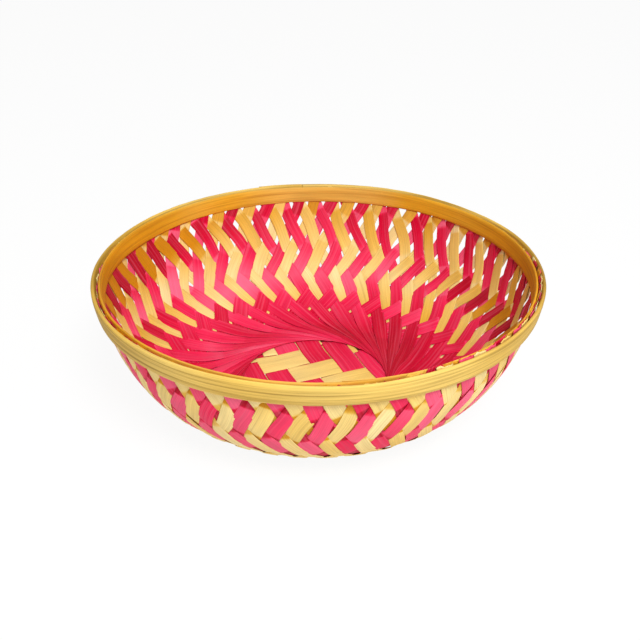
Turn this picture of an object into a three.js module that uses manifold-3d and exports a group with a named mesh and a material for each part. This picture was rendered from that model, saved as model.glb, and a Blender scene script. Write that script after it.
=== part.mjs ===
// Woven bamboo basket: a shallow round bowl of pink and natural splints between two rim hoops.
// Millimetres, +Z up. The origin is on the ground under the middle of the rim.
import * as THREE from 'three';
import { mergeVertices } from 'three/addons/utils/BufferGeometryUtils.js';
import Module from 'manifold-3d';

const wasm = await Module();
wasm.setup();
const { Manifold, Mesh: SolidMesh } = wasm;

const fullTurn = Math.PI * 2;
const radians = THREE.MathUtils.degToRad;

// Overall size
const rimDiameter = 250;
const basketHeight = 75;

// Weave: every splint touches a circle in the floor and climbs the wall with both its ends.
// Its middle is off the rim's middle, as the photographed basket's is.
const splintCount = 72;
const splintStep = fullTurn / splintCount;
const weavePhase = radians(3);
const weaveCentre = new THREE.Vector2(-2, -11);
const tangentRadius = 43.5;
const splintThickness = 0.5;
const coverOfPitch = 0.84;

// Crossings are counted in rows up the wall. The twill changes over at these rows.
const rowStep = splintStep / 2;
const bandRows = [22.5, 24.5, 26.5, 28.5, 30.5];
const bandLength = 2;
const changeHalfRow = 0.1;
const longestBandRow = 28.5;
const roomForChange = 0.09;
const rowPastRim = 34;

// Bowl surface through the middle of the weave: a flat floor, and a wall that steepens as it climbs
const floorLevel = 3.55;
const floorRadius = 62;
const lowestSlope = radians(10);
const rimSlope = radians(80);
const slopePower = 1.3;
const straightShare = 0.12;
const wallSteps = 60;

// Lifts off that surface, inwards and up
const wovenLift = 0.7;
const swirlLift = 0.41;
const pileLift = 0.63;
const pairLift = 0.14;
const matSpace = 2.5;
const groundLevel = 0;

// Splints in the floor: places along a splint from its middle, and its width there
const floorPlaces = [12, 22, 34];
const floorHalfWidth = [[12, 1.7], [34, 2]];
const pileRow = 19.5;
const halfCover = [[pileRow, 0.47], [22.4, coverOfPitch / 2]];

// Rim hoops
const hoopThickness = 2.2;
const hoopHeight = 9;
const hoopClearance = 1.5;
const hoopSteps = 48;
const outerHoopSlope = 0.15;
const innerHoopSlope = 0.24;
const innerHoopDrop = 0.6;
const splintEndDrop = 1.6;

// The hoops' lapped ends
const lapAngle = radians(14);
const lapShoulder = radians(0.6);
const lapSteps = 4;
const lapTip = 0.6;
const lapGap = 0.3;
const outerLapStart = radians(95);
const innerLapStart = radians(275);

// Mat in the middle of the floor, a 2/2 twill of wide strips
const matRadius = 50;
const matThickness = 0.6;
const matLift = 0.38;
const matNatural = { width: 14.2, pitch: 15.3, count: 5, offset: 1.5 };
const matPink = { width: 12, pitch: 13, count: 7, offset: -1 };
const matTurn = radians(23);
const matChange = 0.4;
const twillRepeat = 4;

const wallRadius = rimDiameter / 2 - hoopThickness - hoopClearance;
const wallRise = basketHeight - floorLevel;

// Colours and finishes
const pinkBamboo = new THREE.MeshStandardMaterial({ color: 0xe63c6e, roughness: 0.5, metalness: 0 });
const naturalBamboo = new THREE.MeshStandardMaterial({ color: 0xecca84, roughness: 0.55, metalness: 0 });
const hoopBamboo = new THREE.MeshStandardMaterial({ color: 0xe2b45c, roughness: 0.55, metalness: 0 });

// One column of a table at a value of another column, on straight lines between the rows
function lookUp(table, known, wanted, value) {
  let index = 1;
  while (index < table.length - 1 && table[index][known] < value) index += 1;
  const low = table[index - 1];
  const high = table[index];
  const share = (value - low[known]) / (high[known] - low[known]);
  return low[wanted] + (high[wanted] - low[wanted]) * share;
}

// Value of a line through points, held level past its ends
function lineThrough(points, place) {
  const last = points[points.length - 1];
  if (place <= points[0][0]) return points[0][1];
  if (place >= last[0]) return last[1];
  return lookUp(points, 0, 1, place);
}

// The wall's profile: its slope grows from the floor's edge, and is straight behind the hoops.
// Growth and climb are shares of the whole widening and of the whole height.
function wallProfile() {
  const stations = [{ growth: 0, climb: 0 }];
  for (let step = 1; step <= wallSteps; step += 1) {
    const place = Math.min((step - 0.5) / (wallSteps * (1 - straightShare)), 1);
    const slope = lowestSlope + (rimSlope - lowestSlope) * (1 - (1 - place) ** slopePower);
    const before = stations[step - 1];
    stations.push({ growth: before.growth + Math.cos(slope), climb: before.climb + Math.sin(slope) });
  }
  const top = stations[wallSteps];
  return stations.map(({ growth, climb }) => ({ growth: growth / top.growth, climb: climb / top.climb }));
}
const profile = wallProfile();

// One station of the wall in a direction from the weave's centre.
// The wall's level sections are circles whose centres drift from the weave's centre to the rim's.
function wallStation(step, direction) {
  const { growth, climb } = profile[step];
  const radius = floorRadius + (wallRadius - floorRadius) * growth;
  const drift = weaveCentre.clone().multiplyScalar(-growth);
  const along = drift.dot(direction);
  const reach = along + Math.sqrt(radius ** 2 - drift.lengthSq() + along ** 2);
  return { reach, level: floorLevel + wallRise * climb };
}

// The wall's curve in a direction: reach and level at each distance along the surface
function wallCurve(direction) {
  const curve = [{ distance: floorRadius, ...wallStation(0, direction) }];
  for (let step = 1; step <= wallSteps; step += 1) {
    const before = curve[step - 1];
    const here = wallStation(step, direction);
    const stretch = Math.hypot(here.reach - before.reach, here.level - before.level);
    curve.push({ distance: before.distance + stretch, ...here });
  }
  return curve;
}

const towards = (angle) => new THREE.Vector2(Math.cos(angle), Math.sin(angle));

// The point of the bowl's surface at a distance along the surface from the weave's centre
function surfacePoint(distance, angle) {
  const direction = towards(angle);
  let reach = distance;
  let level = floorLevel;
  if (distance > floorRadius) {
    const curve = wallCurve(direction);
    reach = lookUp(curve, 'distance', 'reach', distance);
    level = lookUp(curve, 'distance', 'level', distance);
  }
  const plan = direction.multiplyScalar(reach).add(weaveCentre);
  return new THREE.Vector3(plan.x, plan.y, level);
}

// A point lifted off the surface along its inward normal
function liftedPoint(distance, angle, lift) {
  const nudge = 0.4;
  const outward = surfacePoint(distance + nudge, angle).sub(surfacePoint(distance - nudge, angle));
  const sideways = surfacePoint(distance, angle + nudge / distance)
    .sub(surfacePoint(distance, angle - nudge / distance));
  const normal = outward.cross(sideways).normalize();
  return surfacePoint(distance, angle).addScaledVector(normal, lift);
}

// How far a splint has turned round the bowl at each distance: a taut strip on a round bowl keeps
// radius times the sine of its lean the same all the way up
function turnAlongWall() {
  const across = new THREE.Vector2(weaveCentre.y, -weaveCentre.x).normalize();
  const curve = wallCurve(across);
  const table = [{ distance: floorRadius, turn: Math.acos(tangentRadius / floorRadius) }];
  for (let step = 1; step <= wallSteps; step += 1) {
    const stretch = curve[step].distance - curve[step - 1].distance;
    const radius = (curve[step].reach + curve[step - 1].reach) / 2;
    const gain = (tangentRadius * stretch) / (radius * Math.sqrt(radius ** 2 - tangentRadius ** 2));
    table.push({ distance: curve[step].distance, turn: table[step - 1].turn + gain });
  }
  return table;
}
const turnTable = turnAlongWall();

function distanceAtTurn(turn) {
  if (turn <= turnTable[0].turn) return tangentRadius / Math.cos(turn);
  return lookUp(turnTable, 'turn', 'distance', turn);
}

// The row of crossings at which the splints end in one direction
function endRowAt(angle) {
  const end = wallCurve(towards(angle))[wallSteps].distance - splintEndDrop;
  return lookUp(turnTable, 'distance', 'turn', end) / rowStep;
}

// Lift of a splint in the wall. Side is 1 for the end that turns anticlockwise, -1 for the other.
// In the lowest band each colour still lies in its own layer; above it they share one twill.
function bandLift(colour, side, row, changes) {
  const layer = colour === 'pink' ? 1 : -1;
  const lifts = [
    (2 * layer + side) * swirlLift,
    (2 * layer - side) * swirlLift,
    side * wovenLift,
    -side * wovenLift,
    side * wovenLift,
    -side * wovenLift,
  ];
  const line = [];
  changes.forEach((change, index) => {
    line.push([change - changeHalfRow, lifts[index]]);
    line.push([change + changeHalfRow, lifts[index + 1]]);
  });
  return lineThrough(line, row);
}

// Heights in the floor, where the splints lie on each other like the leaves of an iris. Each line
// gives a value against the distance from the weave's centre: how far a splint's later end has
// sunk under its neighbours, how far its colour lies from the middle, and how settled the wall is.
const pileSlope = pileLift / (2 * splintStep);
const sinkLine = [[45.5, 0], [48.5, 0.85], [53, 1.4], [57, 1.7]];
const layerLine = [[50.8, matSpace], [57, 1.3], [68, 2 * swirlLift]];
const settledLine = [[56, 0], [66, 1]];

function pileHeight(colour, side, distance, polar) {
  const layer = colour === 'pink' ? 1 : -1;
  const settled = lineThrough(settledLine, distance);
  const piled = pileSlope * polar - side * lineThrough(sinkLine, distance);
  const level = (1 - settled) * piled + settled * side * swirlLift;
  return level + layer * lineThrough(layerLine, distance);
}

// Volume inside a run of triangles, negative where their faces point inwards
function signedVolume(positions, faces) {
  let volume = 0;
  const [a, b, c] = [new THREE.Vector3(), new THREE.Vector3(), new THREE.Vector3()];
  for (let index = 0; index < faces.length; index += 3) {
    a.fromArray(positions, faces[index] * 3);
    b.fromArray(positions, faces[index + 1] * 3);
    c.fromArray(positions, faces[index + 2] * 3);
    volume += a.dot(b.cross(c)) / 6;
  }
  return volume;
}

// Faces of a band whose sections follow each other in a list of points. A four-cornered face that is
// twisted is folded outwards, so that it pinches nothing: out is 1 where the faces as listed point
// outwards, -1 where they point inwards.
function bandFaces(points, corners, out) {
  const faces = [];
  const end = points.length - corners;
  for (let here = 0; here < end; here += corners) {
    for (let corner = 0; corner < corners; corner += 1) {
      const next = (corner + 1) % corners;
      const there = here + corners;
      const [a, b, c, d] = [here + corner, here + next, there + next, there + corner];
      const [toB, toC, toD] = [b, c, d].map((index) => points[index].clone().sub(points[a]));
      const twist = toB.cross(toC).dot(toD);
      if (twist * out > 0) faces.push(a, b, d, b, c, d);
      else faces.push(a, b, c, a, c, d);
    }
  }
  for (let corner = 1; corner + 1 < corners; corner += 1) {
    faces.push(0, corner + 1, corner);
    faces.push(end, end + corner, end + corner + 1);
  }
  return faces;
}

// A closed band from a run of sections with the same number of corners
function bandSolid(sections) {
  const points = sections.flat();
  const positions = points.flatMap((corner) => corner.toArray());
  const corners = sections[0].length;
  const out = Math.sign(signedVolume(positions, bandFaces(points, corners, 0)));
  const faces = bandFaces(points, corners, out);
  if (out < 0) faces.reverse();
  const mesh = new SolidMesh({
    numProp: 3,
    vertProperties: new Float32Array(positions),
    triVerts: new Uint32Array(faces),
  });
  return new Manifold(mesh);
}

// A splint's section: split flat on the inside of the bowl, with the stem's crown on the outside
function splintSection([first, second]) {
  const half = splintThickness / 2;
  const middle = (value) => (first[value] + second[value]) / 2;
  return [
    liftedPoint(first.distance, first.angle, first.lift + half),
    liftedPoint(middle('distance'), middle('angle'), middle('lift') - half),
    liftedPoint(second.distance, second.angle, second.lift + half),
  ];
}

function floorSection(splint, along, side) {
  const half = lineThrough(floorHalfWidth, Math.abs(along));
  return splintSection([-half, half].map((across) => {
    const distance = Math.hypot(along, tangentRadius + across);
    const polar = Math.atan2(along, tangentRadius + across);
    const lift = pileHeight(splint.colour, side, distance, polar) + splint.shift;
    return { distance, angle: splint.angle + polar, lift };
  }));
}

// In the wall a section lies along the splints that cross this one, so that it changes sides
// in the gap between two of them. Cover is counted in splints across this one, and row in
// crossings up it.
function wallEdge(splint, side, cover, row) {
  return {
    distance: distanceAtTurn((row + cover) * rowStep),
    angle: splint.angle + side * (row - cover) * rowStep,
  };
}

function wallSection(splint, side, row, changes) {
  const half = lineThrough(halfCover, row);
  return splintSection([-half, half].map((cover) => {
    const edge = wallEdge(splint, side, cover, row);
    const polar = side * (row - cover) * rowStep;
    const inFloor = row < bandRows[0] - changeHalfRow;
    const lift = inFloor
      ? pileHeight(splint.colour, side, edge.distance, polar)
      : bandLift(splint.colour, side, row, changes);
    return { ...edge, lift };
  }));
}

// The end of a splint, cut level behind the hoops
function endSection(splint, side, changes) {
  const topRow = changes[changes.length - 1] + changeHalfRow;
  const lift = bandLift(splint.colour, side, topRow, changes);
  const rounds = 30;
  return splintSection([-coverOfPitch / 2, coverOfPitch / 2].map((cover) => {
    let low = bandRows[0];
    let high = rowPastRim;
    for (let round = 0; round < rounds; round += 1) {
      const row = (low + high) / 2;
      const edge = wallEdge(splint, side, cover, row);
      if ((row + cover) < endRowAt(edge.angle)) low = row;
      else high = row;
    }
    return { ...wallEdge(splint, side, cover, low), lift };
  }));
}

// One end of a splint up the wall. It leaves out a change that would come too close to the rim,
// and so does every splint that it crosses there.
function wallSections(splint, side) {
  const changes = bandRows.filter((change) => {
    const crossing = change + 0.5;
    return endRowAt(splint.angle + side * crossing * rowStep) > crossing + roomForChange;
  });
  const rows = changes.flatMap((change) => {
    const steps = [change - changeHalfRow, change + changeHalfRow];
    return change === longestBandRow ? [...steps, change + bandLength / 2] : steps;
  });
  return [
    ...[pileRow, ...rows].map((row) => wallSection(splint, side, row, changes)),
    endSection(splint, side, changes),
  ];
}

function splintSolid(index) {
  const splint = {
    angle: index * splintStep + weavePhase,
    colour: index % 2 === 0 ? 'pink' : 'natural',
    shift: Math.floor(index / 2) % 2 === 0 ? -pairLift : pairLift,
  };
  const end = (side) => [
    ...floorPlaces.map((along) => floorSection(splint, side * along, side)),
    ...wallSections(splint, side),
  ];
  return bandSolid([...end(-1).reverse(), floorSection(splint, 0, 1), ...end(1)]);
}

// Two neighbours of one colour press on each other in the floor and make one piece.
// The ground flattens the lowest of the natural ones.
function splintPair(first) {
  const pair = splintSolid(first).add(splintSolid(first + 2));
  return pair.trimByPlane([0, 0, 1], groundLevel);
}

// Directions of a hoop's sections, from the start of its lap right round to the lap's end
function hoopAngles() {
  const run = (from, to, steps) => Array.from(
    { length: steps + 1 },
    (_, step) => from + ((to - from) * step) / steps,
  );
  return [
    ...run(0, lapAngle, lapSteps),
    ...run(lapAngle + lapShoulder, fullTurn - lapShoulder, hoopSteps),
    ...run(fullTurn, fullTurn + lapAngle, lapSteps),
  ];
}

// A rim hoop: a flat band bent round, its thinned ends lapped on each other
function hoopSolid(insideRadius, top, slope, lapStart) {
  const thinned = hoopThickness - 2 * lapTip;
  return bandSolid(hoopAngles().map((angle) => {
    let inside = insideRadius;
    let outside = insideRadius + hoopThickness;
    if (angle <= lapAngle) {
      outside = insideRadius + lapTip + (thinned * angle) / lapAngle - lapGap / 2;
    } else if (angle >= fullTurn) {
      inside = insideRadius + lapTip + (thinned * (angle - fullTurn)) / lapAngle + lapGap / 2;
    }
    const corner = (radius, drop) => {
      const plan = towards(lapStart + angle).multiplyScalar(radius - slope * drop);
      return new THREE.Vector3(plan.x, plan.y, top - drop);
    };
    return [corner(inside, 0), corner(inside, hoopHeight), corner(outside, hoopHeight), corner(outside, 0)];
  }));
}

// The mat's twill: each strip goes over two and under two, one strip further on each time
function naturalIsOver(naturalIndex, pinkIndex) {
  const place = (pinkIndex - naturalIndex + twillRepeat * matPink.count) % twillRepeat;
  return place < twillRepeat / 2;
}

const stripMiddle = (strip, index) => (index - (strip.count - 1) / 2) * strip.pitch + strip.offset;

// A mat strip: flat, and stepped up or down where it changes from over to under
function matStripSolid(strip, index) {
  const isNatural = strip === matNatural;
  const crossed = isNatural ? matPink : matNatural;
  const overAt = (crossing) => (
    isNatural ? naturalIsOver(index, crossing) : !naturalIsOver(crossing, index)
  );
  const across = stripMiddle(strip, index);
  const reach = Math.sqrt(matRadius ** 2 - (Math.abs(across) + strip.width / 2) ** 2);
  const changes = [];
  for (let crossing = 1; crossing < crossed.count; crossing += 1) {
    const edge = stripMiddle(crossed, crossing) - crossed.pitch / 2;
    const over = overAt(crossing);
    if (over !== overAt(crossing - 1) && Math.abs(edge) < reach - 2 * matChange) {
      changes.push({ edge, over });
    }
  }
  const places = [
    { along: -reach, over: !changes[0].over },
    ...changes.flatMap(({ edge, over }) => [
      { along: edge - matChange, over: !over },
      { along: edge + matChange, over },
    ]),
    { along: reach, over: changes[changes.length - 1].over },
  ];
  const upright = new THREE.Vector3(0, 0, 1);
  return bandSolid(places.map(({ along, over }) => {
    const level = floorLevel + (over ? matLift : -matLift);
    const corner = (side, lift) => {
      const edge = across + (side * strip.width) / 2;
      const point = isNatural ? [along, edge] : [edge, along];
      return new THREE.Vector3(...point, level + lift * matThickness)
        .applyAxisAngle(upright, matTurn)
        .add(new THREE.Vector3(weaveCentre.x, weaveCentre.y, 0));
    };
    return [corner(-1, 0.5), corner(-1, -0.5), corner(1, -0.5), corner(1, 0.5)];
  }));
}

function geometryOf(solid) {
  const mesh = solid.getMesh();
  const geometry = new THREE.BufferGeometry();
  geometry.setAttribute('position', new THREE.BufferAttribute(mesh.vertProperties, 3));
  geometry.setIndex(new THREE.BufferAttribute(mesh.triVerts, 1));
  return mergeVertices(geometry, 1e-3);
}

const basket = new THREE.Group();
function addPiece(name, solid, material) {
  const mesh = new THREE.Mesh(geometryOf(solid), material);
  mesh.name = name;
  basket.add(mesh);
}
const numbered = (name, index) => `${name}_${String(index + 1).padStart(2, '0')}`;

const pairs = splintCount / 4;
for (let index = 0; index < pairs; index += 1) {
  addPiece(numbered('pink_splints', index), splintPair(4 * index), pinkBamboo);
  addPiece(numbered('natural_splints', index), splintPair(4 * index + 1), naturalBamboo);
}

const outerHoopInside = wallRadius + hoopClearance;
const innerHoopInside = wallRadius - hoopClearance - hoopThickness;
addPiece(
  'rim_outer_hoop',
  hoopSolid(outerHoopInside, basketHeight, outerHoopSlope, outerLapStart),
  hoopBamboo,
);
addPiece(
  'rim_inner_hoop',
  hoopSolid(innerHoopInside, basketHeight - innerHoopDrop, innerHoopSlope, innerLapStart),
  hoopBamboo,
);

for (let index = 0; index < matNatural.count; index += 1) {
  addPiece(numbered('mat_natural_strip', index), matStripSolid(matNatural, index), naturalBamboo);
}
for (let index = 0; index < matPink.count; index += 1) {
  addPiece(numbered('mat_pink_strip', index), matStripSolid(matPink, index), pinkBamboo);
}

export default basket;
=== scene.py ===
# Woven bamboo basket, dressed: pink and natural splints, two rim hoops and a twill mat in the floor.
# Lengths are millimetres until a mesh is made, and metres from there on.
import math
import random
import bpy
import numpy as np
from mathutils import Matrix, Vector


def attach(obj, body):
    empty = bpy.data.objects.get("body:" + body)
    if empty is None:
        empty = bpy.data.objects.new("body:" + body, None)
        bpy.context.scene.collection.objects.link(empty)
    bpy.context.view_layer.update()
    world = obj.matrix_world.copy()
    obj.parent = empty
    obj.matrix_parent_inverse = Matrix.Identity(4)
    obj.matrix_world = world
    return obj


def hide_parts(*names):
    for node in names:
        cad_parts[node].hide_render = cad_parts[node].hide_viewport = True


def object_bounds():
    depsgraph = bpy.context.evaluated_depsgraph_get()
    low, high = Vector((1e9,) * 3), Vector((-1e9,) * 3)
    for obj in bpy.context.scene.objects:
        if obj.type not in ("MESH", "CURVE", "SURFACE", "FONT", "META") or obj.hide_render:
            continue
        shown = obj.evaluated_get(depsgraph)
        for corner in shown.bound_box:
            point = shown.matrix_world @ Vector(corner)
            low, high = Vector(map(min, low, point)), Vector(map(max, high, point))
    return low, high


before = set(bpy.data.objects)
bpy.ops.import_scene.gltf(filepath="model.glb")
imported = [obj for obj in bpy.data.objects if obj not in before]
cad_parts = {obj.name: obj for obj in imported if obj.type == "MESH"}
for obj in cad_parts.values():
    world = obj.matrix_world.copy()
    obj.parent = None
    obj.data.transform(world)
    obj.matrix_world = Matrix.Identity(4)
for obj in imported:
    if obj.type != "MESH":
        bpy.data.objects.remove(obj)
frame_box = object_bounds()

METRES = 0.001
LOWEST_CORNER, HIGHEST_CORNER = frame_box

# Bowl: the same surface as the solids', a flat floor and a wall that steepens as it climbs, and
# the reach to each side over which its slopes are taken
RIM_DIAMETER = round((HIGHEST_CORNER[0] - LOWEST_CORNER[0]) / METRES)
BASKET_HEIGHT = round((HIGHEST_CORNER[2] - LOWEST_CORNER[2]) / METRES)
WEAVE_CENTRE = np.array([-2.0, -11.0])
FLOOR_LEVEL = 3.55
FLOOR_RADIUS = 62.0
LOWEST_SLOPE = math.radians(10)
RIM_SLOPE = math.radians(80)
SLOPE_POWER = 1.3
STRAIGHT_SHARE = 0.12
WALL_STEPS = 60
SOLID_HOOP_THICKNESS = 2.2
SOLID_HOOP_CLEARANCE = 1.5
WALL_RADIUS = RIM_DIAMETER / 2 - SOLID_HOOP_THICKNESS - SOLID_HOOP_CLEARANCE
WALL_RISE = BASKET_HEIGHT - FLOOR_LEVEL
SLOPE_REACH = 0.4

# Weave: every splint touches a circle in the floor and climbs the wall with both its ends. It
# changes over at the band rows, counted in rows of crossings, and the second band is the foot.
SPLINT_COUNT = 72
SPLINT_STEP = 2 * math.pi / SPLINT_COUNT
ROW_STEP = SPLINT_STEP / 2
WEAVE_PHASE = math.radians(3)
TANGENT_RADIUS = 43.5
BAND_ROWS = (22.5, 24.5, 26.5, 28.5, 30.5)
BAND_LENGTH = 2
FOOT_BAND = 2
CHANGE_TO_CROSSING = 0.5
ROOM_FOR_CHANGE = 0.09
CHANGE_HALF_ROW = 0.24
TIP_ROW_EARLIER = 0.95
END_DROP = 1.6
LENGTH_ROUNDS = 4

# Layers: pink splints lie inside the natural ones, and two neighbours of a colour stand for one node
COLOURS = {1: "pink", -1: "natural"}
COLOUR_COUNT = len(COLOURS)
SPLINTS_PER_NODE = 2
SPLINT_SEED = 1000

# Splints: thickness and width, and how far they lift where they pass over each other. A line
# gives a value at distances from the weave's centre, but the inner half's goes by places along
# the splint, and there is a width line for each layer.
SPLINT_THICKNESS = 0.45
SPLINT_WIDTH = 7.9
WIDTH_SPREAD = 0.75
SWIRL_LIFT = 0.25
FOOT_LIFT = 0.48
WALL_LIFT = 0.38
LEAF_RISE = 0.44
PILE_SLOPE = LEAF_RISE / (2 * SPLINT_STEP)
LAYER_LINE = ((50.8, 2.35), (57, 1.3), (70, 2 * SWIRL_LIFT))
SETTLED_RANGE = (61, 72)
INNER_HALF_LINE = ((12, 1.7), (34, SPLINT_WIDTH / 2))
WIDTH_LINES = {
    1: ((58, 1), (68, 1.22), (80, 1.28), (90, 1.19), (104, 1.07), (120, 1.03)),
    -1: ((70, 1), (84, 0.92), (100, 0.94), (120, 1.03)),
}

# Under the ring the lowest splints are pressed flat by the ground
PRESSED_LIFT = -2.6
PRESSED_SHARE = 0.6

# Unevenness: each wander is a reach and its wavelengths. The drift grows over the wall's range of
# places along a splint, and the weave is loosest at the back right.
WIDTH_WANDER = (0.05, (37, 59, 83))
DRIFT_WANDER = (2.9, (41, 71, 113, 167))
WALL_RANGE = (75, 125)
LOOSE_ANGLE = math.radians(35)
LOOSE_SHARE = 0.1

# The crossings of the real bowl lie higher in its wall than evenly bent splints would put them
RISE_LINE = ((48, 0), (80, 6), (105, 7.8), (126, 5.4), (150, 3.5), (172, 3))
RISE_TILT = (-1.5, -2.0)
TILT_LINE = ((48, 0), (80, 1), (105, 1), (126, 0.7), (150, 0.3))
FRONT_LINE = ((105, 0), (126, 4.0))

# A splint's middle line is followed in small turns, and it ends somewhere among the end turns
LAST_TURN = 1.62
LINE_POINTS = 1621
END_TURNS = np.linspace(0.9, 1.6, 141)
SECTION_LENGTH = 1.3
LOOK_AHEAD = 0.5

# Splint ends: how far they stop below the rim, how they lean with it, and how far they are torn
END_DROPS = (1.3, 2.6)
LEAN_LENGTH = 12
END_LEAN = 0.37
TORN_REACH = 0.9

# Splint ends that stick up between the hoops at the viewer's right
RAGGED_ANGLE = math.radians(-28)
RAGGED_EDGE = math.cos(math.radians(42))
RAGGED_STEEPNESS = 2
RAGGED_RISE = 3.4

# Tone of a strip, from 0 for deep to 1 for light. It holds painted sheen, painted shade, and a lighter
# tone painted where the strip shows outside.
MIDDLE_TONE = 0.5
OWN_TONE = 0.13
TONE_WANDER = (0.16, (67, 109, 181))
# Painted light: the parts of a splint that show outside the bowl are painted one lighter tone
OUTSIDE_PAINTED_LIGHT = 0.28
CHANGE_OF_TONE = 0.25
# Painted sheen: strips are painted lighter or deeper by the way their fibres run against one fixed
# direction, which leans to the other side on each half of the bowl
PAINTED_SHEEN = 1.1
PAINTED_SHEEN_MIDDLE = 0.33
PAINTED_SHEEN_WAY = (-0.3, -0.6, 0.74)
PAINTED_SHEEN_TURN_REACH = 60.0
# Painted shade: strips are painted deeper on the right wall, high on the left wall and in the floor
RIGHT_PAINTED_SHADE = 0.2
RIGHT_RANGE = (35, 95)
LEFT_PAINTED_SHADE = 0.34
LEFT_RANGE = (50, 100)
LEFT_HEIGHTS = (30, 55)
FLOOR_PAINTED_SHADE = 0.12
FLOOR_HEIGHTS = (5, 25)

# Columns across a strip, as shares of its half width, and how square its section is
STRIP_COLUMNS = np.array((-1, -0.96, -0.8, -0.4, 0, 0.4, 0.8, 0.96, 1), float)
MIDDLE_COLUMN = len(STRIP_COLUMNS) // 2
STRIP_SQUARENESS = 10

# Mat in the middle of the floor, a 2/2 twill of wide strips whose ends rise under the ring
MAT_RADIUS = 50.0
MAT_THICKNESS = 0.45
MAT_LIFT = 0.28
MAT_TURN = math.radians(23)
MAT_CHANGE = 1.1
MAT_END_ROOM = 4
MAT_SECTION_LENGTH = 0.8
MAT_WANDER = (0.25, (23, 41))
MAT_NATURAL = {"colour": "natural", "width": 16.5, "pitch": 16.8, "count": 6, "offset": 0.5,
               "seed": 3020, "shift_and_painted_light": 0.15}
MAT_PINK = {"colour": "pink", "width": 14.2, "pitch": 14.6, "count": 7, "offset": -3.3,
            "seed": 3000, "shift_and_painted_light": 0}
MAT_FIRST_NUMBER = 100
TWILL_REPEAT = 4
MAT_EDGE_RANGE = (32.0, 43.0)
MAT_EDGE_RISE = 0.9

# Rim hoops: flat strips that lean outwards, with thinned ends lapped on each other
OUTER_HOOP_SIZES = {"inside": 122.2, "thickness": 2.4, "top": 75.4, "hoop_height": 11.6,
                    "lap_start": math.radians(95), "seed": 41}
INNER_HOOP_SIZES = {"inside": 118.9, "thickness": 1.8, "top": 74.9, "hoop_height": 10.2,
                    "lap_start": math.radians(275), "seed": 42}
HOOP_SLOPE = 0.16
HOOP_SECTIONS = 560
HOOP_COLUMNS = np.array((-1, -0.985, -0.94, -0.86, -0.72, -0.54, -0.36, -0.18, 0,
                         0.18, 0.36, 0.54, 0.72, 0.86, 0.94, 0.985, 1))
HOOP_SQUARENESS = 5
HOOP_FULLNESS = 0.4
HEIGHT_WANDER = (0.5, (89, 151, 230))
SAG_WANDER = (0.25, (120, 260))
BULGE_WANDER = (0.12, (70, 190))
LAP_ANGLE = math.radians(14)
LAP_TIP = 0.5
LAP_GAP = 0.3
# Painted sheen on the hoops: lighter at the front and back, deeper at the left and right
HOOP_PAINTED_SHEEN = 0.6
HOOP_PAINTED_SHEEN_MIDDLE = 0.5

# What the strip body's tree is given for each kind of strip, and its own noise
SPLINT_BODY = {"Thickness": SPLINT_THICKNESS * METRES, "Edge roughness": 0.5 * METRES,
               "Fibre height": 0.06 * METRES, "Fibre width": 2.5, "Fibre length": 30.0}
MAT_BODY = {"Thickness": MAT_THICKNESS * METRES, "Edge roughness": 0.4 * METRES,
            "Fibre height": 0.05 * METRES, "Fibre width": 2.5, "Fibre length": 30.0}
HOOP_BODY = {"Edge roughness": 0.4 * METRES,
             "Fibre height": 0.35 * METRES, "Fibre width": 1.6, "Fibre length": 60.0}
EDGE_NOISE_SCALE = 0.12
EDGE_NOISE_DETAIL = 3.0
FIBRE_NOISE_DETAIL = 2.0
NOISE_MIDDLE = 0.5
JOIN_DISTANCE = 1e-6

# Studio, in metres, degrees and watts, with the lens in millimetres
SKY_COLOUR = (1, 0.99, 0.97, 1)
SKY_STRENGTH = 0.5
FLOOR_HALF_SIZE = 6.0
FLOOR_PAPER = 0.9
FLOOR_WHITE_SHARE = 0.92
LAMP_PLACE = (0.27, -0.74, 1.02)
LAMP_TILT = 37.7
LAMP_TURN = 20
LAMP_SIZE = 0.5
LAMP_POWER = 16
CAMERA_PLACE = (0.000372, -0.42192, 0.278467)
CAMERA_LOOKS_DOWN = 29.681
CAMERA_TURN = -0.0811
SENSOR_WIDTH = 36
LENS_LENGTH = 46.986


def line_through(points, place):
    """Value of a line through points, held level past its ends."""
    known, wanted = zip(*points)
    return np.interp(place, known, wanted)


def smooth_share(value):
    """A share from 0 to 1 with soft ends."""
    held = np.clip(value, 0, 1)
    return held * held * (3 - 2 * held)


def share_past(value, start, end):
    """0 up to start and 1 past end, with a soft change between them."""
    return smooth_share((value - start) / (end - start))


def share_changed(value, middle, half_change):
    """0 before a change and 1 after it, with the change's middle and half its length given."""
    return smooth_share((value - middle) / (2 * half_change) + 0.5)


def unit(vectors):
    """Directions of length 1."""
    return vectors / np.linalg.norm(vectors, axis=-1, keepdims=True)


def stacked(*parts):
    """Points or directions from their parts, each part stretched over the whole grid."""
    return np.stack(np.broadcast_arrays(*parts), -1)


# The bowl's surface
def wall_profile():
    """Shares of the whole widening and of the whole height at each step of the wall."""
    steps = np.arange(1, WALL_STEPS + 1)
    place = np.minimum((steps - 0.5) / (WALL_STEPS * (1 - STRAIGHT_SHARE)), 1)
    slope = LOWEST_SLOPE + (RIM_SLOPE - LOWEST_SLOPE) * (1 - (1 - place) ** SLOPE_POWER)
    growth = np.concatenate([[0], np.cumsum(np.cos(slope))])
    climb = np.concatenate([[0], np.cumsum(np.sin(slope))])
    return growth / growth[-1], climb / climb[-1]


GROWTH, CLIMB = wall_profile()


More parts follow.
